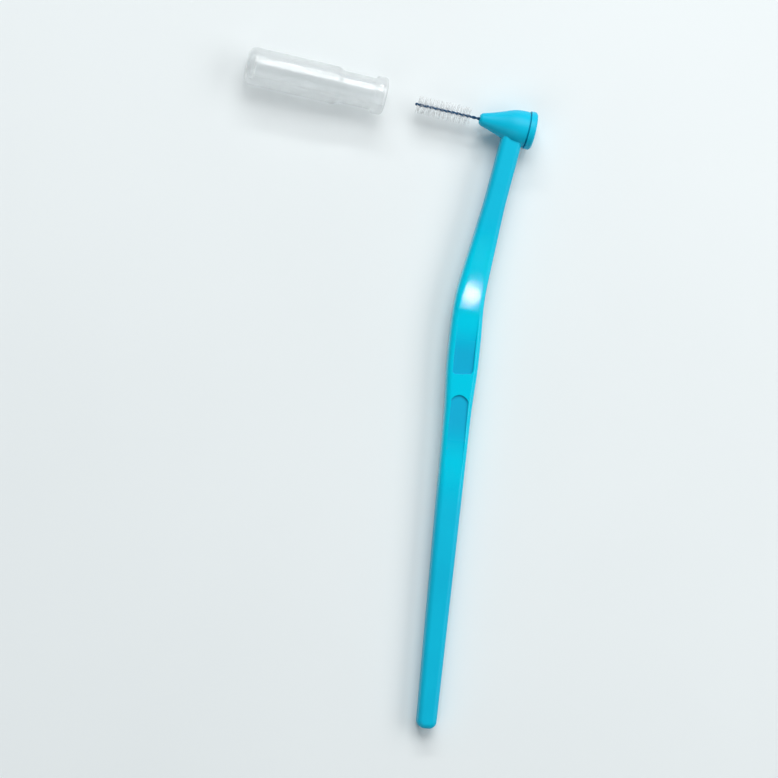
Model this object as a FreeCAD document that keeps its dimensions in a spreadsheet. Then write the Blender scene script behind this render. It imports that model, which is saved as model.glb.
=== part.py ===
import FreeCAD, Part
import math
import os
import Sketcher

# Angled interdental brush and its push-on cap, lying on their sides on a surface.
# Millimetres and degrees. The wire runs along X, the cap slides along it, and the handle runs down Y.

SIZES = [
    # Conical head, measured from the point where the neck's centre line meets the wire's
    ("nose_setback", 5.9),
    ("nose_diameter", 2.05),
    ("nose_edge_chamfer", 0.3),
    ("cone_length", 5.65),
    ("cone_hollow", 0.12),
    ("head_diameter", 5.85),
    ("shoulder_length", 2.15),
    # Neck, grip and tail: runs along the centre line, widths in the bend's plane, then rounds
    ("neck_length", 28.8),
    ("neck_lean_angle", 2.4),
    ("neck_straight_length", 13.0),
    ("tail_length", 69.7),
    ("tail_lean_angle", 6.9),
    ("bend_to_grip", 5.7),
    ("grip_length", 5.5),
    ("grip_to_waist", 6.5),
    ("neck_width", 3.35),
    ("bend_width", 4.75),
    ("grip_width", 5.05),
    ("waist_width", 4.3),
    ("tail_end_width", 3.1),
    ("stem_thickness", 3.4),
    ("bend_radius", 40.0),
    ("side_blend_radius", 60.0),
    ("stem_edge_round", 0.85),
    ("tail_corner_margin", 0.35),
    # Finger recesses in both flats, placed from the bend: each is deepest there and runs out at its far end
    ("recess_depth", 0.28),
    ("upper_recess_place", 12.2),
    ("upper_recess_length", 10.4),
    ("upper_recess_width", 3.3),
    ("upper_recess_arch", 0.3),
    ("lower_recess_place", 15.6),
    ("lower_recess_length", 14.0),
    ("lower_recess_width", 2.8),
    ("lower_recess_arch", 0.85),
    # Rear plug
    ("disc_diameter", 6.2),
    ("disc_thickness", 1.05),
    ("disc_edge_chamfer", 0.25),
    ("seam_width", 0.18),
    ("seam_depth", 0.4),
    ("stem_diameter", 2.4),
    ("stem_length", 4.0),
    ("plug_clearance", 0.02),
    ("plug_end_gap", 0.1),
    # Twisted wire
    ("strand_diameter", 0.22),
    ("strand_sides", 6),
    ("twist_pitch", 2.5),
    ("wire_exposed_length", 10.7),
    ("wire_held_length", 7.3),
    ("wire_clearance", 0.045),
    # Filaments
    ("brush_diameter", 3.1),
    ("brush_base_gap", 1.6),
    ("brush_tip_gap", 0.25),
    ("filament_diameter", 0.07),
    ("filament_sides", 6),
    ("filament_clearance", 0.005),
    ("filament_count", 54),
    # Protective cap, pulled off along the wire
    ("cap_off_gap", 5.0),
    ("cap_length", 23.0),
    ("cap_diameter", 6.2),
    ("cap_bore_diameter", 4.4),
    ("cap_end_wall", 1.2),
    ("cap_end_round", 1.3),
    ("cap_lip_length", 2.0),
    ("cap_lip_round", 0.6),
    ("cap_lip_back_chamfer", 0.35),
    ("cap_mouth_chamfer", 0.25),
    ("cap_collar_length", 5.3),
    ("cap_collar_diameter", 5.25),
    ("cap_shoulder_length", 0.8),
    # Room that cutting tools take past what they cut
    ("cut_overrun", 1.0),
]

document = FreeCAD.newDocument("interdental_brush")
sheet = document.addObject("Spreadsheet::Sheet", "Sizes")
for row, (alias, value) in enumerate(SIZES, start=1):
    sheet.set(f"A{row}", alias)
    sheet.set(f"B{row}", str(value))
    sheet.setAlias(f"B{row}", alias)
document.recompute()


# Helpers: expressions are texts over the sheet's aliases

def size(alias):
    return f"Sizes.{alias}"


def half(alias):
    return f"(Sizes.{alias} / 2)"


def number(expression):
    return float(sheet.evalExpression(expression))


def vector(x="0", y="0", z="0"):
    return f"create(<<vector>>; {x}; {y}; {z})"


def turn(axis, angle):
    return f"create(<<rotation>>; {axis}; {angle})"


def euler(yaw="0", pitch="0", roll="0"):
    return f"create(<<rotation>>; {yaw}; {pitch}; {roll})"


def placement(base, rotation=euler()):
    return f"create(<<placement>>; {base}; {rotation})"


def add(kind, name, **expressions):
    made = document.addObject(kind, name)
    for prop, expression in expressions.items():
        made.setExpression(prop, expression)
    return made


def pin(sketch, point, x, y):
    """Holds a sketch point at two expressions, or on an axis where one of them is 0."""
    for kind, axis, expression in (("DistanceX", -2, x), ("DistanceY", -1, y)):
        if expression == "0":
            sketch.addConstraint(Sketcher.Constraint("PointOnObject", *point, axis))
        else:
            index = sketch.addConstraint(Sketcher.Constraint(kind, -1, 1, *point, number(expression)))
            sketch.setExpression(f"Constraints[{index}]", expression)


def arc_ends(sketch, arc, start):
    """Numbers of an arc's two ends, the one at start first. A sketch turns all its arcs the same way."""
    gaps = [sketch.getPoint(arc, end).distanceToPoint(start) for end in (1, 2)]
    return (1, 2) if gaps[0] < gaps[1] else (2, 1)


def draw_outline(sketch, corners, rises=None):
    """Draws a closed outline. rises gives, by side number, how far that side bows to its left."""
    rises = rises or {}
    places = [FreeCAD.Vector(number(x), number(y), 0) for x, y in corners]
    ends = []
    for side, start in enumerate(places):
        finish = places[(side + 1) % len(places)]
        if side not in rises:
            line = sketch.addGeometry(Part.LineSegment(start, finish))
            ends.append(((line, 1), (line, 2)))
            continue
        chord = finish - start
        left = FreeCAD.Vector(-chord.y, chord.x, 0).normalize()
        crown = (start + finish) / 2 + left * number(rises[side])
        arc = sketch.addGeometry(Part.Arc(start, crown, finish))
        near, far = arc_ends(sketch, arc, start)
        ends.append(((arc, near), (arc, far)))
    for side, (x, y) in enumerate(corners):
        sketch.addConstraint(Sketcher.Constraint("Coincident", *ends[side - 1][1], *ends[side][0]))
        pin(sketch, ends[side][0], x, y)
    for side, rise in rises.items():
        (x0, y0), (x1, y1) = corners[side], corners[(side + 1) % len(corners)]
        bow = f"abs({rise})"
        radius = f"((({x1}) - ({x0})) ^ 2 + (({y1}) - ({y0})) ^ 2) / (8 * {bow}) + {bow} / 2"
        index = sketch.addConstraint(Sketcher.Constraint("Radius", ends[side][0][0], number(radius)))
        sketch.setExpression(f"Constraints[{index}]", radius)


def draw_blended_outline(sketch, corners):
    """Draws a closed outline of straight sides, with a tangent arc at each corner that has a radius."""
    places = [FreeCAD.Vector(number(x), number(y), 0) for x, y, _ in corners]
    entries, crowns, exits = [], [], []
    for index, (_, _, radius) in enumerate(corners):
        place = places[index]
        before = (places[index - 1] - place).normalize()
        after = (places[(index + 1) % len(places)] - place).normalize()
        half_angle = before.getAngle(after) / 2
        reach = number(radius) if radius else 0
        entries.append(place + before * (reach / math.tan(half_angle)))
        exits.append(place + after * (reach / math.tan(half_angle)))
        crowns.append(place + (before + after).normalize() * (reach / math.sin(half_angle) - reach))
    sides = zip(exits, entries[1:] + entries[:1])
    lines = [sketch.addGeometry(Part.LineSegment(start, finish)) for start, finish in sides]
    for index, (x, y, radius) in enumerate(corners):
        if not radius:
            sketch.addConstraint(Sketcher.Constraint("Coincident", lines[index - 1], 2, lines[index], 1))
            pin(sketch, (lines[index], 1), x, y)
            continue
        corner = sketch.addGeometry(Part.Point(places[index]), True)
        pin(sketch, (corner, 1), x, y)
        arc = sketch.addGeometry(Part.Arc(entries[index], crowns[index], exits[index]))
        near, far = arc_ends(sketch, arc, entries[index])
        for line, line_end, arc_end in ((lines[index - 1], 2, near), (lines[index], 1, far)):
            sketch.addConstraint(Sketcher.Constraint("PointOnObject", corner, 1, line))
            sketch.addConstraint(Sketcher.Constraint("Tangent", line, line_end, arc, arc_end))
        index = sketch.addConstraint(Sketcher.Constraint("Radius", arc, number(radius)))
        sketch.setExpression(f"Constraints[{index}]", radius)


def rounding(radius):
    """The rise of a quarter round's arc over its chord."""
    return f"({radius}) * (1 - sqrt(2) / 2)"


def body_with_sketch(label):
    """A body and its first sketch, which lies in the XY plane."""
    body = document.addObject("PartDesign::Body", label)
    plane = next(item for item in body.Origin.OriginFeatures if item.Role == "XY_Plane")
    sketch = body.newObject("Sketcher::SketchObject", f"{label}_outline")
    sketch.AttachmentSupport = [(plane, "")]
    sketch.MapMode = "FlatFace"
    return body, sketch


def revolved_body(label, corners, rises=None):
    """A body turned about X from an outline in the XY plane."""
    body, sketch = body_with_sketch(label)
    draw_outline(sketch, corners, rises)
    turned = body.newObject("PartDesign::Revolution", f"{label}_turned")
    turned.Profile = sketch
    turned.ReferenceAxis = (sketch, ["H_Axis"])
    body.Tip = turned
    return body


# Places along the wire's axis and along the handle's centre line

nose_x = f"-{size('nose_setback')}"
cone_end_x = f"({nose_x} + {size('cone_length')})"
head_back_x = f"({cone_end_x} + {size('shoulder_length')})"
wire_tip_x = f"({nose_x} - {size('wire_exposed_length')})"
wire_end_x = f"({nose_x} + {size('wire_held_length')})"
cap_mouth_x = f"({wire_tip_x} - {size('cap_off_gap')})"
cap_end_x = f"({cap_mouth_x} - {size('cap_length')})"

neck_lean = f"(-{size('neck_lean_angle')})"
tail_lean = size("tail_lean_angle")


def on_centre_line(distance):
    """A point of the handle's centre line: a straight neck, then a straight tail."""
    neck_run = f"min({distance}; {size('neck_length')})"
    tail_run = f"max(0; {distance} - {size('neck_length')})"
    x = f"({neck_run} * sin({neck_lean}) + {tail_run} * sin({tail_lean}))"
    y = f"(-{neck_run} * cos({neck_lean}) - {tail_run} * cos({tail_lean}))"
    return x, y


def below_bend(*runs):
    """Distance along the centre line of a place on the tail, by the runs that lead to it from the bend."""
    return f"({size('neck_length')} + {' + '.join(size(run) for run in runs)})"


centre_length = below_bend("tail_length")
tail_end_x, tail_end_y = on_centre_line(centre_length)

# Lying on its side: disc, cap and tail end touch the surface, and the box is centred on the origin

axis_height = f"(max({size('disc_diameter')}; {size('cap_diameter')}) / 2)"
lay_angle = f"asin(({axis_height} - {half('stem_thickness')}) / abs({tail_end_y}))"
tail_round = f"({size('stem_edge_round')} + {size('tail_corner_margin')})"
right_x = (f"({tail_end_x} + ({half('tail_end_width')} - {tail_round}) * cos({tail_lean})"
           f" + {tail_round} * (1 - sin({tail_lean})))")
shift_x = f"(-({cap_end_x} + {right_x}) / 2)"
shift_y = f"(-({half('disc_diameter')} + {tail_end_y}) / 2)"
lay = placement(vector(shift_x, shift_y, axis_height), turn(vector("1"), lay_angle))


# Handle

bend_lean = f"(({neck_lean} + {tail_lean}) / 2)"
stem_stations = [
    ("0", "neck_width", neck_lean, None),
    (size("neck_straight_length"), "neck_width", neck_lean, size("side_blend_radius")),
    (size("neck_length"), "bend_width", bend_lean, size("bend_radius")),
    (below_bend("bend_to_grip"), "grip_width", tail_lean, size("side_blend_radius")),
    (below_bend("bend_to_grip", "grip_length"), "grip_width", tail_lean, size("side_blend_radius")),
    (below_bend("bend_to_grip", "grip_length", "grip_to_waist"), "waist_width", tail_lean,
     size("side_blend_radius")),
    (centre_length, "tail_end_width", tail_lean, tail_round),
]


def stem_side(side):
    """Corners of one side of the stem's outline, from the top down, each with its blending radius."""
    corners = []
    for distance, width, lean, radius in stem_stations:
        x, y = on_centre_line(distance)
        reach = f"{side} * {half(width)}"
        corners.append((f"({x} + {reach} * cos({lean}))", f"({y} + {reach} * sin({lean}))", radius))
    return corners


def make_stem():
    """Neck, grip and tail: a flat bar with a bent outline, rounded on all edges outside the head."""
    left, right = stem_side(-1), stem_side(1)
    body, outline = body_with_sketch("stem")
    draw_blended_outline(outline, left + right[::-1])
    bar = body.newObject("PartDesign::Pad", "stem_bar")
    bar.Profile = outline
    bar.SideType = "Symmetric"
    bar.setExpression("Length", size("stem_thickness"))
    document.recompute()
    edges = []
    for index, edge in enumerate(bar.Shape.Edges, start=1):
        middle = edge.CenterOfMass
        on_flat = abs(middle.z) > number(half("stem_thickness")) / 2
        in_head = math.hypot(middle.x, middle.y) < number(half("neck_width"))
        if on_flat and not in_head:
            edges.append(f"Edge{index}")
    rounded = body.newObject("PartDesign::Fillet", "stem_edges")
    rounded.Base = (bar, edges)
    rounded.setExpression("Radius", size("stem_edge_round"))
    body.Tip = rounded
    return body


def make_head():
    """Flared cone and shoulder, turned about the wire's axis."""
    profile = document.addObject("Sketcher::SketchObject", "head_profile")
    edge = size("nose_edge_chamfer")
    nose_radius = half("nose_diameter")
    corners = [(nose_x, "0"), (nose_x, f"({nose_radius} - {edge})"), (f"({nose_x} + {edge})", nose_radius),
               (cone_end_x, half("head_diameter")), (head_back_x, half("head_diameter")), (head_back_x, "0")]
    draw_outline(profile, corners, {2: f"-{size('cone_hollow')}"})
    head = document.addObject("Part::Revolution", "head_blank")
    head.Source = profile
    head.Axis = FreeCAD.Vector(1, 0, 0)
    head.Solid = True
    return head


strand_offset = (f"(({size('strand_diameter')} + {size('filament_diameter')}) / 2"
                 f" + {size('filament_clearance')})")
wire_bore = f"({strand_offset} + {half('strand_diameter')} + {size('wire_clearance')})"
socket_front_x = f"({head_back_x} - {size('stem_length')} - {size('plug_end_gap')})"


def along_wire(x):
    return placement(vector(x), turn(vector("0", "1"), "90"))


def make_head_cutters():
    """The wire's hole through the nose, and the plug's socket behind it."""
    overrun = size("cut_overrun")
    hole = add("Part::Cylinder", "wire_hole", Radius=wire_bore,
               Height=f"{socket_front_x} - ({nose_x}) + 2 * {overrun}",
               Placement=along_wire(f"{nose_x} - {overrun}"))
    socket = add("Part::Cylinder", "plug_socket",
                 Radius=f"{half('stem_diameter')} + {size('plug_clearance')}",
                 Height=f"{head_back_x} - {socket_front_x} + {overrun}",
                 Placement=along_wire(socket_front_x))
    return [hole, socket]


def make_recess(name, heading):
    """Cutters for one finger recess on both flats. The recess runs out along the heading."""
    width, arch, length = half(f"{name}_width"), size(f"{name}_arch"), size(f"{name}_length")
    far = f"({length} + {size('cut_overrun')})"
    outline = document.addObject("Sketcher::SketchObject", f"{name}_outline")
    corners = [(f"-{width}", arch), (width, arch), (width, far), (f"-{width}", far)]
    draw_outline(outline, corners, {0: f"-{arch}"})
    x, y = on_centre_line(below_bend(f"{name}_place"))
    floor = f"{half('stem_thickness')} - {size('recess_depth')}"
    rise_angle = f"atan({size('recess_depth')} / {length})"
    outline.setExpression("Placement", placement(vector(x, y, floor), euler(heading, "0", rise_angle)))
    front = add("Part::Extrusion", f"{name}_front",
                LengthFwd=f"{size('recess_depth')} + {size('cut_overrun')}")
    front.Base = outline
    front.DirMode = "Normal"
    front.Solid = True
    back = document.addObject("Part::Mirroring", f"{name}_back")
    back.Source = front
    back.Normal = FreeCAD.Vector(0, 0, 1)
    return [front, back]


def make_handle():
    blank = document.addObject("Part::MultiFuse", "handle_blank")
    blank.Shapes = [make_stem(), make_head()]
    blank.Refine = False
    cutters = document.addObject("Part::MultiFuse", "handle_cutters")
    cutters.Shapes = (make_head_cutters() + make_recess("upper_recess", tail_lean)
                      + make_recess("lower_recess", f"{tail_lean} + 180"))
    handle = add("Part::Cut", "handle", Placement=lay)
    handle.Base = blank
    handle.Tool = cutters
    return handle


# Rear plug

def make_head_plug():
    """Disc behind the head, a seat that leaves the seam open, and a hollow stem that holds the wire."""
    stem_front_x = f"({head_back_x} - {size('stem_length')})"
    hole_end_x = f"({wire_end_x} + {size('plug_end_gap')})"
    disc_front_x = f"({head_back_x} + {size('seam_width')})"
    disc_back_x = f"({disc_front_x} + {size('disc_thickness')})"
    disc, edge = half("disc_diameter"), size("disc_edge_chamfer")
    seat = f"({half('head_diameter')} - {size('seam_depth')})"
    stem = half("stem_diameter")
    corners = [(hole_end_x, "0"), (hole_end_x, wire_bore), (stem_front_x, wire_bore), (stem_front_x, stem),
               (head_back_x, stem), (head_back_x, seat), (disc_front_x, seat), (disc_front_x, disc),
               (f"({disc_back_x} - {edge})", disc), (disc_back_x, f"({disc} - {edge})"), (disc_back_x, "0")]
    plug = revolved_body("head_plug", corners)
    plug.setExpression("Placement", lay)
    return plug


# Twisted wire and filaments, drawn along Z from the held end to the tip

wire_length = f"({size('wire_held_length')} + {size('wire_exposed_length')})"


def wire_place(roll):
    turned = f"{turn(vector('0', '1'), '-90')} * {turn(vector('0', '0', '1'), roll)}"
    return f"{lay} * {placement(vector(wire_end_x), turned)}"


def make_strand(label, roll):
    spine = add("Part::Helix", f"{label}_spine", Pitch=size("twist_pitch"), Height=wire_length,
                Radius=strand_offset)
    spine.SegmentLength = 1
    lead_angle = f"atan(2 * pi * {strand_offset} / {size('twist_pitch')})"
    section = add("Part::RegularPolygon", f"{label}_section", Circumradius=half("strand_diameter"),
                  Polygon=size("strand_sides"),
                  Placement=placement(vector(strand_offset), turn(vector("1"), f"-{lead_angle}")))
    strand = add("Part::Sweep", label, Placement=wire_place(roll))
    strand.Spine = (spine, [])
    strand.Sections = [section]
    strand.Solid = True
    strand.Frenet = False
    return strand


def make_filaments():
    """Straight rods through the axis, each square to the two strands that hold it."""
    count = int(sheet.filament_count)
    first = f"({size('wire_held_length')} + {size('brush_base_gap')})"
    step = f"(({wire_length} - {size('brush_tip_gap')} - {first}) / {count - 1})"
    rods = []
    for index in range(count):
        height = f"({first} + {index} * {step})"
        angle = f"(360 * {height} / {size('twist_pitch')})"
        reach = half("brush_diameter")
        base = vector(f"{reach} * sin({angle})", f"-{reach} * cos({angle})", height)
        rods.append(add("Part::Prism", f"filament_{index + 1}", Circumradius=half("filament_diameter"),
                        Polygon=size("filament_sides"), Height=size("brush_diameter"),
                        Placement=placement(base, euler(angle, "0", "-90"))))
    filaments = add("Part::Compound", "filaments", Placement=wire_place("0"))
    filaments.Links = rods
    return filaments


# Protective cap

def make_cap():
    """Blind tube with a lipped mouth, a thin collar that grips the nose and a thicker barrel."""
    outer, collar, bore = half("cap_diameter"), half("cap_collar_diameter"), half("cap_bore_diameter")
    lip_round, end_round = size("cap_lip_round"), size("cap_end_round")
    chamfer, back_chamfer = size("cap_mouth_chamfer"), size("cap_lip_back_chamfer")
    lip_back_x = f"({cap_mouth_x} - {size('cap_lip_length')})"
    collar_end_x = f"({lip_back_x} - {size('cap_collar_length')})"
    barrel_x = f"({collar_end_x} - {size('cap_shoulder_length')})"
    bore_end_x = f"({cap_end_x} + {size('cap_end_wall')})"
    corners = [(f"({cap_mouth_x} - {chamfer})", bore), (bore_end_x, bore), (bore_end_x, "0"),
               (cap_end_x, "0"), (cap_end_x, f"({outer} - {end_round})"),
               (f"({cap_end_x} + {end_round})", outer), (barrel_x, outer),
               (collar_end_x, collar), (lip_back_x, collar), (lip_back_x, f"({outer} - {back_chamfer})"),
               (f"({lip_back_x} + {back_chamfer})", outer), (f"({cap_mouth_x} - {lip_round})", outer),
               (cap_mouth_x, f"({outer} - {lip_round})"), (cap_mouth_x, f"({bore} + {chamfer})")]
    rises = {4: rounding(end_round), 11: rounding(lip_round)}
    cap = revolved_body("protective_cap", corners, rises)
    cap.setExpression("Placement", placement(vector(shift_x, shift_y, axis_height)))
    return cap


pieces = [
    make_handle(),
    make_head_plug(),
    make_strand("wire_strand_a", "0"),
    make_strand("wire_strand_b", "180"),
    make_filaments(),
    make_cap(),
]
document.recompute()

for item in document.Objects:
    if "Invalid" in item.State or "Error" in item.State:
        raise RuntimeError(f"{item.Name} failed: {item.State}")
for piece in pieces:
    if piece.Shape.isNull() or not piece.Shape.isValid():
        raise RuntimeError(f"{piece.Label} has no valid shape")

os.makedirs("parts", exist_ok=True)
for piece in pieces:
    piece.Shape.exportStep(f"parts/{piece.Label}.step")
    box = piece.Shape.BoundBox
    print(f"{piece.Label}: {len(piece.Shape.Solids)} solids, {piece.Shape.Volume:.3f} mm3,"
          f" X {box.XMin:.2f} to {box.XMax:.2f}, Y {box.YMin:.2f} to {box.YMax:.2f},"
          f" Z {box.ZMin:.2f} to {box.ZMax:.2f}")
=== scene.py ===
import math
import random
from collections import namedtuple

import bmesh
import bpy
from mathutils import Matrix, Vector


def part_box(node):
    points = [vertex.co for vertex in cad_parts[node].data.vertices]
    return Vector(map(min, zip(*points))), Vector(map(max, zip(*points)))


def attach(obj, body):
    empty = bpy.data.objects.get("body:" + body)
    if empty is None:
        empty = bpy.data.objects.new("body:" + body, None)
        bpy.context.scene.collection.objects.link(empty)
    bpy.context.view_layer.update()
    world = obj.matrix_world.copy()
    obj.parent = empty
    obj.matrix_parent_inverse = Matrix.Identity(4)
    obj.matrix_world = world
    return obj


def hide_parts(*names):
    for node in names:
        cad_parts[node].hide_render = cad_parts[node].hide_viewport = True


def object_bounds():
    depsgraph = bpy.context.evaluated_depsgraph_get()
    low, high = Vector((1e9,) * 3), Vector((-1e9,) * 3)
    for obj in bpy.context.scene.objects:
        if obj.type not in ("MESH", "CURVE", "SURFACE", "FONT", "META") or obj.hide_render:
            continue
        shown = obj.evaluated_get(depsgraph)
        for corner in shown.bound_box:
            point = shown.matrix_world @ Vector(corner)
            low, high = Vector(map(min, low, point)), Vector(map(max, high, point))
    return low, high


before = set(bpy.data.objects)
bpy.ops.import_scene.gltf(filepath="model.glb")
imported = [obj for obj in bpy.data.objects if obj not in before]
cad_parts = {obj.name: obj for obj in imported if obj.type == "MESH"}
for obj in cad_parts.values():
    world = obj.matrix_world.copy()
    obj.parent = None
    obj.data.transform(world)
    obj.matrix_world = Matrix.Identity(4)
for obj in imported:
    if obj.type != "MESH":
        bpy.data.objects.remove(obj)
cad_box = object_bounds()

MM = 0.001

# View: straight down on the lying brush, turned as in the photograph and seen a little from the nose's side
VIEW_TURN = math.radians(12.6)
VIEW_TILT = math.radians(6.5)
VIEW_DISTANCE = 600 * MM
VIEW_HEIGHT = 126 * MM
SENSOR_WIDTH = 36.0
CLIP_START = 10 * MM

# Handle: tilt of its mid-plane as it lies, and where its polished grip, which also carries a painted sheen,
# begins and ends
LIE_TILT = math.radians(0.819)
HALF_THICKNESS = 1.7 * MM
GRIP_TOP_Y = 29 * MM
GRIP_END_Y = -11 * MM
GRIP_FADE = 5 * MM

# Head of the handle: its shoulder, where cone and drum meet, is rounded over as far as the reach to each side
CONE_LENGTH = 5.65 * MM
HEAD_RADIUS = 2.925 * MM
SHOULDER_SLOPE = math.tan(math.radians(24.4))
SHOULDER_REACH = 1.3 * MM
SHOULDER_CUTS = 10
SURFACE_MARGIN = 0.1 * MM
HEAD_FACING = 0.8
CUT_MARGIN = 0.0001 * MM

# Finger recesses, in the handle's own axes: the ends next to the bridge are moved from the solid's plain arch
# on to the slanted and rounded curve that the photograph shows
TAIL_LEAN = math.radians(6.9)
RECESS_MIDDLE = 13.23 * MM
RECESS_LEVEL = 1.35 * MM
RECESS_CUTS = 6
END_FADE = 0.7 * MM
ON_CURVE = 0.02 * MM
ON_SIDE = 0.002 * MM
WALL_FACING = 0.5
RecessEnd = namedtuple("RecessEnd", "tip side half_width arch level_half corner_round slope slope_from")
RECESS_ENDS = (
    RecessEnd(tip=-42.79 * MM, side=1, half_width=1.65 * MM, arch=0.3 * MM,
              level_half=1.05 * MM, corner_round=0.6 * MM, slope=0.1, slope_from=-1.65 * MM),
    RecessEnd(tip=-46.18 * MM, side=-1, half_width=1.4 * MM, arch=0.85 * MM,
              level_half=0, corner_round=1.578 * MM, slope=-0.13, slope_from=0),
)

# Wire
STRAND_RADIUS = 0.13 * MM
STRAND_OFFSET = 0.13 * MM
TWIST_PITCH = 1.75 * MM
STRAND_STEPS_PER_TURN = 36
STRAND_SIDES = 12
FOLD_STEPS = 10

# Filaments, each bowed at a share of its length
FILAMENT_RADIUS = 0.022 * MM
FILAMENT_COUNT = 320
FILAMENT_SIDES = 6
FILAMENT_LEAN = 0.16
FILAMENT_BOW = 0.5
FILAMENT_FAN = math.radians(65)
FILAMENT_TRIM = 0.1
FILAMENT_SEED = 11

# Cap, by lengths from its mouth and by diameters
CAP_LIP_LENGTH = 2.0 * MM
CAP_LIP_ROUND = 0.6 * MM
CAP_LIP_BACK_ROUND = 0.35 * MM
CAP_COLLAR_LENGTH = 5.3 * MM
CAP_COLLAR_DIAMETER = 5.25 * MM
CAP_SHOULDER_LENGTH = 0.8 * MM
CAP_BORE_DIAMETER = 4.4 * MM
CAP_END_WALL = 1.2 * MM
CAP_END_ROUND = 1.3 * MM
CAP_MOUTH_ROUND = 0.25 * MM
CAP_BORE_END_ROUND = 0.8 * MM
CAP_SIDES = 128
ROUND_STEPS = 8
ROUND_SUPPORT = 0.1 * MM
CAP_CREASE = math.radians(20)

# Materials in general: the share of a noise's range that a ramp uses, the noises' detail,
# and the places of the colours among a mixer's sockets
RAMP_START = 0.3
RAMP_END = 0.7
PLAIN_DETAIL = 2
FINE_DETAIL = 3
FLOW_DETAIL = 4
MIX_LOW = 6
MIX_HIGH = 7
MIX_RESULT = 2

# Turquoise plastic: flow marks, satin grain, the polished grip with its painted sheen, and the finger
# recesses in it with painted shade
FLOW_GRAIN = 14 * MM
FLOW_COLOURS = (0.0, 0.45, 0.67, 1), (0.0, 0.51, 0.73, 1)
SATIN_GRAIN = 0.12 * MM
SATIN_ROUGHNESS = 0.36, 0.46
SATIN_RELIEF = 0.1
SATIN_DEPTH = 0.002 * MM
EDGE_ROUND = 0.15 * MM
# Lighter colour painted over the grip zone: a painted sheen, not a colour of the plastic itself
GRIP_PAINTED_SHEEN_COLOUR = (0.0, 0.60, 0.80, 1)
GRIP_ROUGHNESS = 0.045
# Darker colour painted on the floors of the finger recesses: painted shade, not a colour of the plastic
# itself
RECESS_PAINTED_SHADE_COLOUR = (0.0, 0.42, 0.66, 1)
RECESS_ROUGHNESS = 0.45
RECESS_SHALLOW = 0.05 * MM
RECESS_DEEP = 0.2 * MM
FACING_SLANTED = 0.97
FACING_FLAT = 0.99
PLASTIC_SHADER = {
    "IOR": 1.49,
    "Specular IOR Level": 0.2,
    "Subsurface Weight": 0.12,
    "Subsurface Radius": (0.2, 0.9, 1.0),
    "Subsurface Scale": 0.6 * MM,
}

# Coated wire
COATING_GRAIN = 0.6 * MM
COATING_COLOURS = (0.0, 0.045, 0.12, 1), (0.0, 0.085, 0.21, 1)
WIRE_GRAIN = 0.05 * MM
WIRE_ROUGHNESS = 0.28, 0.4
WIRE_RELIEF = 0.2
WIRE_DEPTH = 0.004 * MM
WIRE_SHADER = {
    "IOR": 1.52,
    "Specular IOR Level": 0.3,
}

# Nylon filaments
NYLON_GRAIN = 0.4 * MM
NYLON_COLOURS = (0.86, 0.91, 0.93, 1), (0.97, 0.98, 0.99, 1)
NYLON_SHADER = {
    "Roughness": 0.3,
    "IOR": 1.53,
    "Transmission Weight": 0.12,
    "Alpha": 0.5,
    "Subsurface Weight": 0.5,
    "Subsurface Radius": (1.0, 1.0, 1.0),
    "Subsurface Scale": 0.1 * MM,
}

# Clear plastic of the cap
HAZE_GRAIN = 5 * MM
HAZE_ROUGHNESS = 0.06, 0.13
CLEAR_GRAIN = 0.3 * MM
CLEAR_RELIEF = 0.05
CLEAR_DEPTH = 0.002 * MM
CLEAR_SHADER = {
    "Base Color": (0.96, 0.99, 1.0, 1),
    "IOR": 1.49,
    "Transmission Weight": 0.75,
    "Alpha": 0.45,
    "Coat Weight": 1.0,
    "Coat Roughness": 0.04,
}

# Floor and sky
FLOOR_SIZE = 3.0
FLOOR_DROP = 0.02 * MM
FLOOR_GRAIN = 60 * MM
FLOOR_COLOURS = (0.80, 0.85, 0.86, 1), (0.82, 0.87, 0.88, 1)
FLOOR_SHADER = {"Roughness": 0.7}
SKY_COLOUR = (0.92, 0.97, 1.0, 1)
SKY_STRENGTH = 0.18

# Soft lights, placed by the view's own axes from the middle of the object, in metres and watts
Softbox = namedtuple("Softbox", "name across upwards height width length power")
SOFTBOXES = (
    Softbox("top_light", across=0.10, upwards=0.50, height=0.70, width=0.6, length=0.35, power=3.6),
    Softbox("side_light", across=0.55, upwards=0.10, height=0.45, width=0.3, length=0.7, power=2.1),
    Softbox("front_fill", across=-0.40, upwards=-0.45, height=0.60, width=0.6, length=0.4, power=0.9),
    Softbox("strip_light", across=0.0, upwards=0.75, height=0.50, width=0.6, length=0.07, power=2.6),
)

# Small light whose reflection is the white spot at the handle's bend
GLINT_Y = 19.3 * MM
GLINT_WIDTH = 3.4 * MM
GLINT_LENGTH = 4.6 * MM
GLINT_DISTANCE = 500 * MM
GLINT_POWER = 0.0055


# Pieces in general

def add_piece(mesh, material, body, replaced):
    """Adds an object for a mesh that stands for the named nodes and rides on a body."""
    mesh.materials.clear()
    mesh.materials.append(material)
    piece = bpy.data.objects.new(mesh.name, mesh)
    bpy.context.scene.collection.objects.link(piece)
    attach(piece, body)
    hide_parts(*replaced)


def smooth_mesh(name, points, faces):
    mesh = bpy.data.meshes.new(name)
    mesh.from_pydata(points, [], faces)
    mesh.shade_smooth()
    return mesh


def tube(path, radius, sides, points, faces):
    """Adds a round tube along a path, with closed ends, to the lists of points and faces."""
    first = len(points)
    ahead = (path[1] - path[0]).normalized()
    side = ahead.orthogonal().normalized()
    for index, place in enumerate(path):
        before = path[max(index - 1, 0)]
        after = path[min(index + 1, len(path) - 1)]
        ahead = (after - before).normalized()
        side = (side - ahead * side.dot(ahead)).normalized()
        other = ahead.cross(side)
        for step in range(sides):
            angle = 2 * math.pi * step / sides
            points.append(place + (side * math.cos(angle) + other * math.sin(angle)) * radius)
    for ring in range(len(path) - 1):
        for step in range(sides):
            here = first + ring * sides
            following = (step + 1) % sides
            faces.append((here + step, here + following, here + sides + following, here + sides + step))
    last = first + (len(path) - 1) * sides
    faces.append(tuple(first + step for step in reversed(range(sides))))
    faces.append(tuple(last + step for step in range(sides)))


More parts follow.
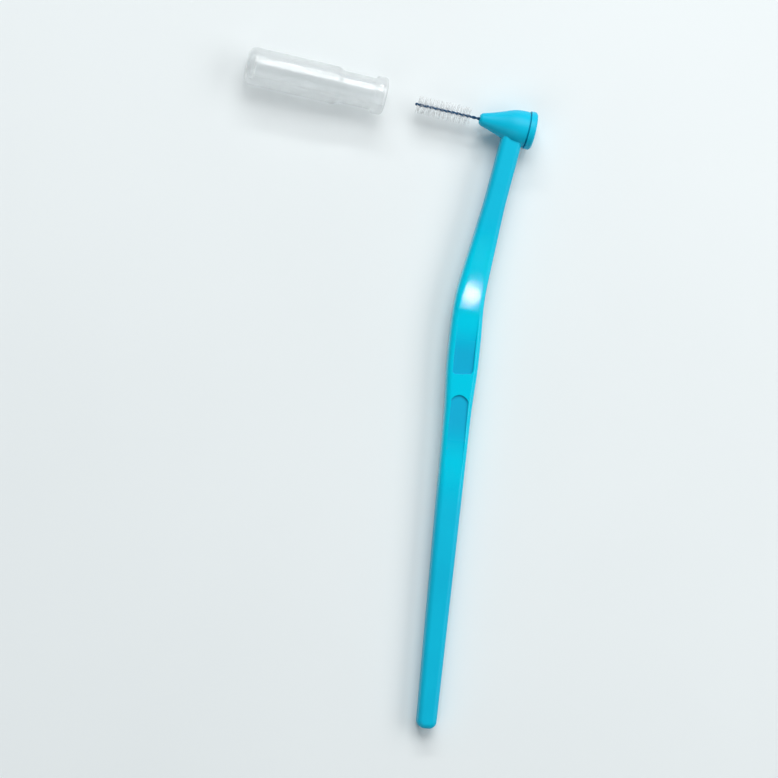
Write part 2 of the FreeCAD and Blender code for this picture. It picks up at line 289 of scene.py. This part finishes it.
def wire_axis():
    """Held end and tip of the wire on its axis."""
    boxes = [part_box(name) for name in ("wire_strand_a", "wire_strand_b")]
    low = Vector(min(box[0][axis] for box in boxes) for axis in range(3))
    high = Vector(max(box[1][axis] for box in boxes) for axis in range(3))
    middle = (low + high) / 2
    return Vector((high.x, middle.y, middle.z)), Vector((low.x, middle.y, middle.z))


def handle_axes():
    """Directions across the tail, along it towards the head, and square to the handle's flats."""
    upwards = Vector((0, math.cos(LIE_TILT), math.sin(LIE_TILT)))
    across = Vector((math.cos(TAIL_LEAN), 0, 0)) + upwards * math.sin(TAIL_LEAN)
    along = Vector((-math.sin(TAIL_LEAN), 0, 0)) + upwards * math.cos(TAIL_LEAN)
    return across, along, Vector((0, -math.sin(LIE_TILT), math.cos(LIE_TILT)))


# Procedural materials

def new_material(name, settings):
    """A material whose shader has the given constants."""
    material = bpy.data.materials.new(name)
    material.use_nodes = True
    nodes = material.node_tree.nodes
    shader = nodes["Principled BSDF"]
    for socket, value in settings.items():
        shader.inputs[socket].default_value = value
    return material, nodes, material.node_tree.links, shader


def noise(nodes, links, grain, detail):
    """Noise whose grain is about the given length, in the object's own coordinates."""
    place = nodes.new("ShaderNodeTexCoord")
    texture = nodes.new("ShaderNodeTexNoise")
    texture.inputs["Scale"].default_value = 1 / grain
    texture.inputs["Detail"].default_value = detail
    links.new(place.outputs["Object"], texture.inputs["Vector"])
    return texture.outputs["Fac"]


def ramp(nodes, links, source, low, high):
    """Two colours or greys over the used share of the source's range."""
    made = nodes.new("ShaderNodeValToRGB")
    for element, place, colour in zip(made.color_ramp.elements, (RAMP_START, RAMP_END), (low, high)):
        element.position = place
        element.color = colour
    links.new(source, made.inputs["Fac"])
    return made.outputs["Color"]


def smooth_step(nodes, links, source, low, high):
    """0 at low and below, 1 at high and above, and a smooth rise between them."""
    made = nodes.new("ShaderNodeMapRange")
    made.interpolation_type = "SMOOTHSTEP"
    made.inputs["From Min"].default_value = low
    made.inputs["From Max"].default_value = high
    links.new(source, made.inputs["Value"])
    return made.outputs["Result"]


def math_node(nodes, links, operation, *sources):
    """A sum, product or the like of sockets and numbers."""
    made = nodes.new("ShaderNodeMath")
    made.operation = operation
    for socket, source in zip(made.inputs, sources):
        if isinstance(source, (int, float)):
            socket.default_value = source
        else:
            links.new(source, socket)
    return made.outputs["Value"]


def component(nodes, links, source, direction):
    """How far a vector reaches along a direction."""
    made = nodes.new("ShaderNodeVectorMath")
    made.operation = "DOT_PRODUCT"
    made.inputs[1].default_value = direction
    links.new(source, made.inputs[0])
    return made.outputs["Value"]


def mix_colour(nodes, links, share, low, high):
    """A colour between two others, each a socket or a fixed colour."""
    made = nodes.new("ShaderNodeMix")
    made.data_type = "RGBA"
    links.new(share, made.inputs["Factor"])
    for socket, source in ((made.inputs[MIX_LOW], low), (made.inputs[MIX_HIGH], high)):
        if isinstance(source, tuple):
            socket.default_value = source
        else:
            links.new(source, socket)
    return made.outputs[MIX_RESULT]


def grey(value):
    return value, value, value, 1


def add_bump(nodes, links, shader, source, strength, depth, edge_round=0):
    """Surface relief, over edges that catch the light as moulded ones do where a rounding is given."""
    bump = nodes.new("ShaderNodeBump")
    if edge_round:
        bevel = nodes.new("ShaderNodeBevel")
        bevel.inputs["Radius"].default_value = edge_round
        links.new(bevel.outputs["Normal"], bump.inputs["Normal"])
    bump.inputs["Strength"].default_value = strength
    bump.inputs["Distance"].default_value = depth
    links.new(source, bump.inputs["Height"])
    links.new(bump.outputs["Normal"], shader.inputs["Normal"])


def grip_shares(nodes, links):
    """Shares of the polished grip zone, which is painted lighter as a painted sheen, and of the finger
    recesses in it, whose floors get painted shade, from places on the handle alone.
    """
    place = nodes.new("ShaderNodeTexCoord").outputs["Object"]
    facing = nodes.new("ShaderNodeNewGeometry").outputs["Normal"]
    along = component(nodes, links, place, (0, 1, 0))
    above_end = smooth_step(nodes, links, along, GRIP_END_Y - GRIP_FADE, GRIP_END_Y + GRIP_FADE)
    above_top = smooth_step(nodes, links, along, GRIP_TOP_Y - GRIP_FADE, GRIP_TOP_Y + GRIP_FADE)
    grip_and_painted_sheen = math_node(nodes, links, "SUBTRACT", above_end, above_top)
    square = handle_axes()[2]
    height = component(nodes, links, place, square)
    off_middle = math_node(nodes, links, "SUBTRACT", height, wire_axis()[0].dot(square))
    from_middle = math_node(nodes, links, "ABSOLUTE", off_middle)
    depth = math_node(nodes, links, "SUBTRACT", HALF_THICKNESS, from_middle)
    sunk = smooth_step(nodes, links, depth, RECESS_SHALLOW, RECESS_DEEP)
    level = math_node(nodes, links, "ABSOLUTE", component(nodes, links, facing, square))
    flat = smooth_step(nodes, links, level, FACING_SLANTED, FACING_FLAT)
    recess_and_painted_shade = math_node(nodes, links, "MULTIPLY", grip_and_painted_sheen, math_node(nodes, links, "MULTIPLY", sunk, flat))
    return grip_and_painted_sheen, recess_and_painted_shade


def handle_material():
    """Satin turquoise moulded plastic with faint flow marks and a fine grain, polished round the grip, with a
    painted sheen over the grip and painted shade on the floors of its finger recesses.
    """
    material, nodes, links, shader = new_material("turquoise_plastic", PLASTIC_SHADER)
    grip_and_painted_sheen, recess_and_painted_shade = grip_shares(nodes, links)
    flow = noise(nodes, links, FLOW_GRAIN, FLOW_DETAIL)
    colour = ramp(nodes, links, flow, *FLOW_COLOURS)
    # Painted sheen: the grip zone's colour is painted lighter than the rest of the plastic
    sheen_painted_colour = mix_colour(nodes, links, grip_and_painted_sheen, colour, GRIP_PAINTED_SHEEN_COLOUR)
    # Painted shade: the floors of the finger recesses are painted darker
    links.new(mix_colour(nodes, links, recess_and_painted_shade, sheen_painted_colour, RECESS_PAINTED_SHADE_COLOUR), shader.inputs["Base Color"])
    grain = noise(nodes, links, SATIN_GRAIN, FINE_DETAIL)
    satin = ramp(nodes, links, grain, *map(grey, SATIN_ROUGHNESS))
    polish = mix_colour(nodes, links, grip_and_painted_sheen, satin, grey(GRIP_ROUGHNESS))
    links.new(mix_colour(nodes, links, recess_and_painted_shade, polish, grey(RECESS_ROUGHNESS)), shader.inputs["Roughness"])
    add_bump(nodes, links, shader, grain, SATIN_RELIEF, SATIN_DEPTH, EDGE_ROUND)
    return material


def wire_material():
    """Dark blue coating on steel wire, a little uneven."""
    material, nodes, links, shader = new_material("coated_wire", WIRE_SHADER)
    patches = noise(nodes, links, COATING_GRAIN, FINE_DETAIL)
    links.new(ramp(nodes, links, patches, *COATING_COLOURS), shader.inputs["Base Color"])
    grain = noise(nodes, links, WIRE_GRAIN, PLAIN_DETAIL)
    links.new(ramp(nodes, links, grain, *map(grey, WIRE_ROUGHNESS)), shader.inputs["Roughness"])
    add_bump(nodes, links, shader, grain, WIRE_RELIEF, WIRE_DEPTH)
    return material


def filament_material():
    """Fine clear nylon that scatters white."""
    material, nodes, links, shader = new_material("clear_nylon", NYLON_SHADER)
    streaks = noise(nodes, links, NYLON_GRAIN, PLAIN_DETAIL)
    links.new(ramp(nodes, links, streaks, *NYLON_COLOURS), shader.inputs["Base Color"])
    return material


def cap_material():
    """Clear moulded plastic with a slight milky haze."""
    material, nodes, links, shader = new_material("clear_plastic", CLEAR_SHADER)
    haze = noise(nodes, links, HAZE_GRAIN, FINE_DETAIL)
    links.new(ramp(nodes, links, haze, *map(grey, HAZE_ROUGHNESS)), shader.inputs["Roughness"])
    grain = noise(nodes, links, CLEAR_GRAIN, PLAIN_DETAIL)
    add_bump(nodes, links, shader, grain, CLEAR_RELIEF, CLEAR_DEPTH)
    return material


def floor_material():
    material, nodes, links, shader = new_material("pale_floor", FLOOR_SHADER)
    mottle = noise(nodes, links, FLOOR_GRAIN, FINE_DETAIL)
    links.new(ramp(nodes, links, mottle, *FLOOR_COLOURS), shader.inputs["Base Color"])
    return material


# Handle: its solid's mesh, with the head's shoulder rounded over and the ends of its recesses shaped

def cut_through(work, place, direction):
    """Adds points and edges where a plane crosses the mesh, which keeps its shape."""
    bmesh.ops.bisect_plane(work, geom=[*work.verts, *work.edges, *work.faces], dist=CUT_MARGIN,
                           plane_co=place, plane_no=direction)


def cut_shoulder(work, shoulder_x):
    """Adds rings of points to the head, close enough together for the rounding."""
    for cut in range(SHOULDER_CUTS + 1):
        x = shoulder_x + SHOULDER_REACH * (2 * cut / SHOULDER_CUTS - 1)
        cut_through(work, (x, 0, 0), (1, 0, 0))


def round_shoulder(work, normals, shoulder_x, middle):
    """Lowers the head's surface near the corner on to a parabola, and turns its normals with it."""
    for point in work.verts:
        run = point.co.x - shoulder_x
        outward = Vector((0, point.co.y - middle.y, point.co.z - middle.z))
        corner_line = SHOULDER_SLOPE * min(run, 0)
        off_surface = outward.length - HEAD_RADIUS - corner_line
        if abs(run) > SHOULDER_REACH or abs(off_surface) > SURFACE_MARGIN:
            continue
        share = (1 - run / SHOULDER_REACH) / 2
        outward.normalize()
        for corner in point.link_loops:
            facing = corner[normals].dot(outward)
            if facing > HEAD_FACING:
                on_cone = corner.face.calc_center_median().x < shoulder_x
                slope = SHOULDER_SLOPE * (share - on_cone) - corner[normals].x / facing
                corner[normals] = (outward - Vector((slope, 0, 0))).normalized()
        point.co -= outward * (SHOULDER_SLOPE * SHOULDER_REACH * share ** 2 + corner_line)


def on_handle(place, origin):
    """A place by the handle's own axes, from the middle line of the recesses."""
    across, along, square = (axis.dot(place - origin) for axis in handle_axes())
    return across - RECESS_MIDDLE, along, square


def solid_end(end, across):
    """How far the solid's end of a recess lies from its tip."""
    radius = (end.half_width ** 2 + end.arch ** 2) / (2 * end.arch)
    return end.side * (radius - math.sqrt(radius ** 2 - across ** 2))


def shown_end(end, across):
    """The same for the shown end, with the direction in which its wall faces."""
    turned = min(max(abs(across) - end.level_half, 0) / end.corner_round, 1)
    level = math.sqrt(1 - turned ** 2)
    offset = end.side * end.corner_round * (1 - level) + end.slope * max(across, end.slope_from)
    climb = end.side * math.copysign(turned, across) + end.slope * level * (across > end.slope_from)
    side_axis, long_axis, _ = handle_axes()
    return offset, (side_axis * (-climb * end.side) + long_axis * (level * end.side)).normalized()


def on_end(end, across, along):
    """The nearest place across on the solid's end of a recess, and how far along from there a place lies."""
    held = max(min(across, end.half_width), -end.half_width)
    return held, along - end.tip - solid_end(end, held)


def cut_recess_ends(work, origin):
    """Adds points to the ends of the recesses, closest together at the corners."""
    side_axis = handle_axes()[0]
    for end in RECESS_ENDS:
        for cut in range(-RECESS_CUTS + 1, RECESS_CUTS):
            turned = math.sin(math.pi / 2 * cut / RECESS_CUTS)
            across = math.copysign(end.level_half, cut) + end.corner_round * turned
            if abs(across) < end.half_width:
                cut_through(work, origin + side_axis * (RECESS_MIDDLE + across), side_axis)


def turn_wall(point, normals, origin, end, facing):
    """Sets the normals of a recess's end wall at one of its points."""
    square_axis = handle_axes()[2]
    for corner in point.link_loops:
        middle = on_handle(corner.face.calc_center_median(), origin)[0]
        on_wall = abs(corner[normals].dot(square_axis)) < WALL_FACING
        if on_wall and abs(middle) < end.half_width - ON_SIDE:
            corner[normals] = facing


def move_recess_ends(work, normals, origin):
    """Moves each end on to its shown curve, with the points near it, and turns the normals of its wall."""
    long_axis = handle_axes()[1]
    for point in work.verts:
        across, along, square = on_handle(point.co, origin)
        for end in RECESS_ENDS:
            held, off_end = on_end(end, across, along)
            share = 1 - abs(off_end) / END_FADE
            if abs(square) < RECESS_LEVEL or abs(across - held) > ON_SIDE or share < 0:
                continue
            if point.is_boundary and off_end * end.side < -ON_CURVE:
                continue
            offset, facing = shown_end(end, held)
            if abs(off_end) < ON_CURVE:
                turn_wall(point, normals, origin, end, facing)
            point.co += long_axis * (share * (offset - solid_end(end, held)))


def make_handle(material):
    """A copy of the solid's mesh, which keeps its normals through the changes."""
    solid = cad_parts["handle"].data
    mesh = solid.copy()
    mesh.name = "bent_handle"
    kept = mesh.attributes.new("solid_normal", "FLOAT_VECTOR", "CORNER")
    for corner, normal in zip(kept.data, solid.corner_normals):
        corner.vector = normal.vector
    work = bmesh.new()
    work.from_mesh(mesh)
    shoulder_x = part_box("handle")[0].x + CONE_LENGTH
    middle = wire_axis()[0]
    origin = Vector((0, middle.y, middle.z))
    cut_shoulder(work, shoulder_x)
    cut_recess_ends(work, origin)
    normals = work.loops.layers.float_vector["solid_normal"]
    round_shoulder(work, normals, shoulder_x, middle)
    move_recess_ends(work, normals, origin)
    work.to_mesh(mesh)
    work.free()
    mesh.shade_smooth()
    kept = mesh.attributes["solid_normal"]
    mesh.normals_split_custom_set([Vector(corner.vector).normalized() for corner in kept.data])
    mesh.attributes.remove(mesh.attributes["solid_normal"])
    add_piece(mesh, material, "brush", ["handle"])


# Twisted wire: one wire folded at the tip, so its two halves lie where the two strands are

def on_helix(held_end, run, roll):
    angle = 2 * math.pi * run / TWIST_PITCH + roll
    return held_end + Vector((-run, STRAND_OFFSET * math.sin(angle), STRAND_OFFSET * math.cos(angle)))


def make_wire():
    held_end, tip = wire_axis()
    length = (held_end - tip).length - STRAND_OFFSET - STRAND_RADIUS
    steps = round(length / TWIST_PITCH * STRAND_STEPS_PER_TURN)
    runs = [length * step / steps for step in range(steps + 1)]
    out = [on_helix(held_end, run, 0) for run in runs]
    back = [on_helix(held_end, run, math.pi) for run in reversed(runs)]
    centre = (out[-1] + back[0]) / 2
    arm = out[-1] - centre
    fold = []
    for step in range(1, FOLD_STEPS):
        angle = math.pi * step / FOLD_STEPS
        fold.append(centre + arm * math.cos(angle) + Vector((-STRAND_OFFSET * math.sin(angle), 0, 0)))
    points, faces = [], []
    tube(out + fold + back, STRAND_RADIUS, STRAND_SIDES, points, faces)
    mesh = smooth_mesh("twisted_wire", points, faces)
    add_piece(mesh, wire_material(), "brush", ["wire_strand_a", "wire_strand_b"])


def make_filaments():
    """Fine bristles held between the two halves of the wire, so they leave it in a double spiral."""
    rng = random.Random(FILAMENT_SEED)
    held_end = wire_axis()[0]
    low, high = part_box("filaments")
    reach = (high.y - low.y) / 2
    span = high.x - low.x - 2 * FILAMENT_RADIUS
    points, faces = [], []
    for index in range(FILAMENT_COUNT):
        x = low.x + FILAMENT_RADIUS + span * (index + rng.random()) / FILAMENT_COUNT
        run = held_end.x - x
        root = Vector((x, held_end.y, held_end.z))
        arms = []
        for roll in (math.pi / 2, -math.pi / 2):
            angle = 2 * math.pi * run / TWIST_PITCH + roll + rng.uniform(-FILAMENT_FAN, FILAMENT_FAN)
            outward = Vector((0, math.sin(angle), math.cos(angle)))
            lean = rng.uniform(-FILAMENT_LEAN, FILAMENT_LEAN)
            length = reach * (1 - FILAMENT_TRIM * rng.random())
            drift = max(min(x + lean * length, high.x), low.x) - x
            end = root + outward * length + Vector((drift, 0, 0))
            bow = root + outward * (length * FILAMENT_BOW) + Vector((drift * FILAMENT_BOW ** 2, 0, 0))
            arms.append([bow, end])
        path = arms[0][::-1] + [root] + arms[1]
        tube(path, FILAMENT_RADIUS, FILAMENT_SIDES, points, faces)
    mesh = smooth_mesh("nylon_filaments", points, faces)
    add_piece(mesh, filament_material(), "brush", ["filaments"])


# Cap: a lathe outline of (distance from the mouth, radius), then turned about the wire's axis

def rounded(corner, before, after, radius):
    """A quarter round in place of a corner, with a point beyond each end that keeps the walls true."""
    to_before = (before - corner).normalized()
    to_after = (after - corner).normalized()
    centre = corner + (to_before + to_after) * radius
    made = [corner + to_before * (radius + ROUND_SUPPORT)]
    for step in range(ROUND_STEPS + 1):
        angle = math.pi / 2 * step / ROUND_STEPS
        made.append(centre - to_after * (radius * math.cos(angle)) - to_before * (radius * math.sin(angle)))
    made.append(corner + to_after * (radius + ROUND_SUPPORT))
    return made


def cap_outline(length, radius):
    bore = CAP_BORE_DIAMETER / 2
    collar = CAP_COLLAR_DIAMETER / 2
    collar_end = CAP_LIP_LENGTH + CAP_COLLAR_LENGTH
    corners = [
        ((length - CAP_END_WALL, 0), 0),
        ((length - CAP_END_WALL, bore), CAP_BORE_END_ROUND),
        ((0, bore), CAP_MOUTH_ROUND),
        ((0, radius), CAP_LIP_ROUND),
        ((CAP_LIP_LENGTH, radius), CAP_LIP_BACK_ROUND),
        ((CAP_LIP_LENGTH, collar), 0),
        ((collar_end, collar), 0),
        ((collar_end + CAP_SHOULDER_LENGTH, radius), 0),
        ((length, radius), CAP_END_ROUND),
        ((length, 0), 0),
    ]
    places = [Vector(place) for place, _ in corners]
    outline = []
    for index, (_, corner_round) in enumerate(corners):
        if corner_round:
            outline += rounded(places[index], places[index - 1], places[index + 1], corner_round)
        else:
            outline.append(places[index])
    return outline


def make_cap():
    low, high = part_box("protective_cap")
    middle = (low + high) / 2
    outline = cap_outline(high.x - low.x, (high.y - low.y) / 2)
    centres = [Vector((high.x - place.x, middle.y, middle.z)) for place in outline]
    points = [centres[0]]
    for place, centre in zip(outline[1:-1], centres[1:-1]):
        for step in range(CAP_SIDES):
            angle = 2 * math.pi * step / CAP_SIDES
            points.append(centre + Vector((0, math.cos(angle), math.sin(angle))) * place.y)
    points.append(centres[-1])
    faces = []
    rings = len(outline) - 2
    for step in range(CAP_SIDES):
        following = (step + 1) % CAP_SIDES
        faces.append((0, 1 + step, 1 + following))
        for ring in range(rings - 1):
            here = 1 + ring * CAP_SIDES
            beyond = here + CAP_SIDES
            faces.append((here + following, here + step, beyond + step, beyond + following))
        last = 1 + (rings - 1) * CAP_SIDES
        faces.append((len(points) - 1, last + following, last + step))
    mesh = smooth_mesh("clear_cap", points, faces)
    mesh.set_sharp_from_angle(angle=CAP_CREASE)
    add_piece(mesh, cap_material(), "cap", ["protective_cap"])


# Camera, floor and light

def view_axes():
    right = Vector((math.cos(VIEW_TURN), math.sin(VIEW_TURN), 0))
    up = Vector((-math.sin(VIEW_TURN), math.cos(VIEW_TURN), 0))
    return right, up


def view_target():
    """Middle of the object's outline as the turned view sees it."""
    corners = []
    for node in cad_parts.values():
        corners += [vertex.co for vertex in node.data.vertices]
    target = Vector((0, 0, 0))
    for axis in view_axes():
        spans = [corner.dot(axis) for corner in corners]
        target += axis * ((min(spans) + max(spans)) / 2)
    return target


def aim(thing, target):
    """Points an object's -Z at a target, with its Y as near to the view's upward axis as that allows."""
    back = (thing.location - target).normalized()
    side = view_axes()[1].cross(back).normalized()
    thing.rotation_euler = Matrix((side, back.cross(side), back)).transposed().to_euler()


def add_camera():
    right = view_axes()[0]
    target = view_target()
    towards = Vector((0, 0, math.cos(VIEW_TILT))) - right * math.sin(VIEW_TILT)
    camera = bpy.data.objects.new("camera", bpy.data.cameras.new("camera"))
    camera.location = target + towards * VIEW_DISTANCE
    aim(camera, target)
    camera.data.sensor_width = SENSOR_WIDTH
    camera.data.lens = SENSOR_WIDTH * VIEW_DISTANCE / VIEW_HEIGHT
    camera.data.clip_start = CLIP_START
    bpy.context.scene.collection.objects.link(camera)
    bpy.context.scene.camera = camera


def add_area_light(name, shape, width, length, power, place, target):
    light = bpy.data.lights.new(name, "AREA")
    light.shape = shape
    light.size = width
    light.size_y = length
    light.energy = power
    lamp = bpy.data.objects.new(name, light)
    lamp.location = place
    aim(lamp, target)
    bpy.context.scene.collection.objects.link(lamp)


def add_softbox(box):
    """An area light placed by the view's own axes and aimed at the object."""
    right, up = view_axes()
    target = view_target()
    place = target + right * box.across + up * box.upwards + Vector((0, 0, box.height))
    add_area_light(box.name, "RECTANGLE", box.width, box.length, box.power, place, target)


def add_glint():
    """A small light whose reflection in the handle's flat lies at the bend, as the camera sees it."""
    square = handle_axes()[2]
    beside = [vertex.co.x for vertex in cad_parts["handle"].data.vertices
              if abs(vertex.co.y - GLINT_Y) < HALF_THICKNESS]
    middle = wire_axis()[0]
    bend = Vector(((min(beside) + max(beside)) / 2, GLINT_Y, middle.z)) + square * HALF_THICKNESS
    bend.z += (bend.y - middle.y) * math.tan(LIE_TILT)
    seen = (bend - bpy.context.scene.camera.location).normalized()
    mirrored = seen - square * (2 * seen.dot(square))
    place = bend + mirrored * GLINT_DISTANCE
    add_area_light("bend_glint", "ELLIPSE", GLINT_WIDTH, GLINT_LENGTH, GLINT_POWER, place, bend)


def add_floor():
    half = FLOOR_SIZE / 2
    corners = [(-half, -half, 0), (half, -half, 0), (half, half, 0), (-half, half, 0)]
    mesh = bpy.data.meshes.new("floor")
    mesh.from_pydata(corners, [], [(0, 1, 2, 3)])
    mesh.materials.append(floor_material())
    floor = bpy.data.objects.new("floor", mesh)
    floor.location.z = cad_box[0][2] - FLOOR_DROP
    bpy.context.scene.collection.objects.link(floor)


def add_world():
    world = bpy.data.worlds.new("studio")
    world.use_nodes = True
    background = world.node_tree.nodes["Background"]
    background.inputs["Color"].default_value = SKY_COLOUR
    background.inputs["Strength"].default_value = SKY_STRENGTH
    bpy.context.scene.world = world


plastic = handle_material()
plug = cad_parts["head_plug"]
plug.data.materials.clear()
plug.data.materials.append(plastic)
make_handle(plastic)
make_wire()
make_filaments()
make_cap()

add_camera()
add_floor()
add_world()
for softbox in SOFTBOXES:
    add_softbox(softbox)
add_glint()
bpy.context.scene.view_settings.view_transform = "Standard"
